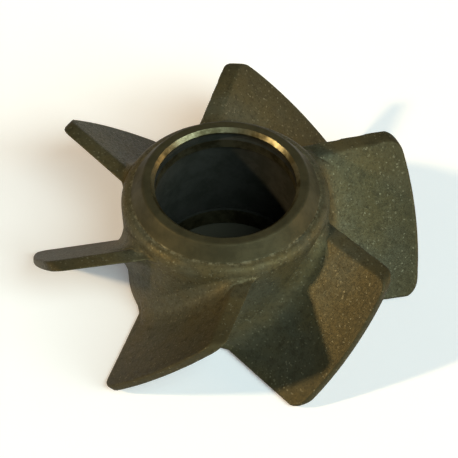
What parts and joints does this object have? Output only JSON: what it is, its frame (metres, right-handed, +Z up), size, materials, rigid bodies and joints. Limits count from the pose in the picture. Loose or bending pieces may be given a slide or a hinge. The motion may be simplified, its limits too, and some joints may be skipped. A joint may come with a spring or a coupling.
{
  "type": "pump impeller",
  "caption": "Axial-flow pump impeller cast in one piece: a collared hub with a turned through bore and flat pitched blades, cropped to one circle with rounded corners.",
  "frame": {"origin": "centre of the foot that the hub stands on", "axes": "+Z up the bore from the foot to the collared rim; the first blade points along +X"},
  "size_m": [0.11, 0.1072, 0.04],
  "materials": {
    "cast_bronze": "raw sand-cast bronze, dull dark olive brown, with the bore turned smooth"
  },
  "bodies": {
    "root": {"impeller": "cast_bronze"}
  },
  "joints": []
}
